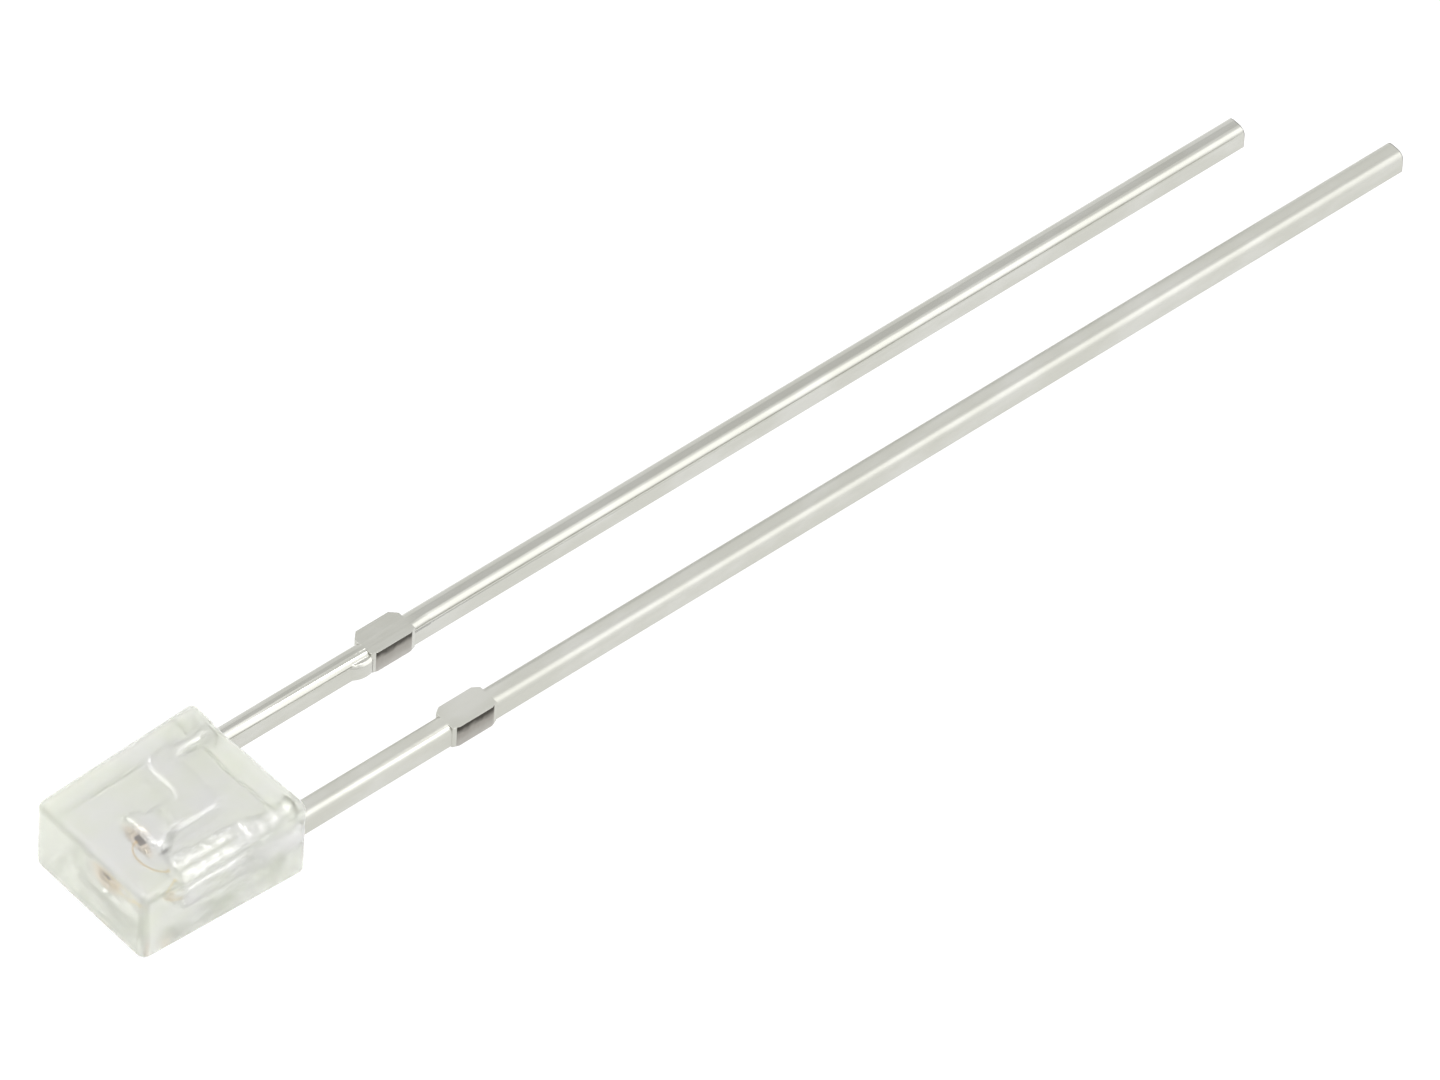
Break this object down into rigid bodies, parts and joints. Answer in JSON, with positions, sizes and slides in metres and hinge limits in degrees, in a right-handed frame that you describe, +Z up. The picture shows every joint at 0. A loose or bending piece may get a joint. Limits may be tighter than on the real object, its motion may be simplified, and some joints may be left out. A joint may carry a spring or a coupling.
{
  "type": "rectangular through-hole led",
  "caption": "Rectangular light-emitting diode in a clear cast package with straight square leads, the anode longer, and a stub on each lead where the tie bar was cut.",
  "frame": {"origin": "midway between the leads, on the flat rear face of the package, at half the strip's thickness", "axes": "+Y from the package to the lead tips, X across the two leads with the cathode at -X and the anode at +X, +Z up out of the wide face while the part lies on the other wide face"},
  "size_m": [0.0036, 0.0335, 0.002],
  "materials": {
    "clear_epoxy": "clear cast resin, glossy, faintly yellow-green",
    "tinned_steel": "tin-plated steel strip, satin, with bare sheared ends",
    "chip_crystal": "dark amber semiconductor crystal",
    "silver_adhesive": "silver-filled adhesive",
    "gold_wire": "bright gold"
  },
  "bodies": {
    "root": {"epoxy_body": "clear_epoxy", "cathode_lead": "tinned_steel", "anode_lead": "tinned_steel", "led_chip": "chip_crystal", "die_attach": "silver_adhesive", "bond_wire": "gold_wire"}
  },
  "joints": []
}
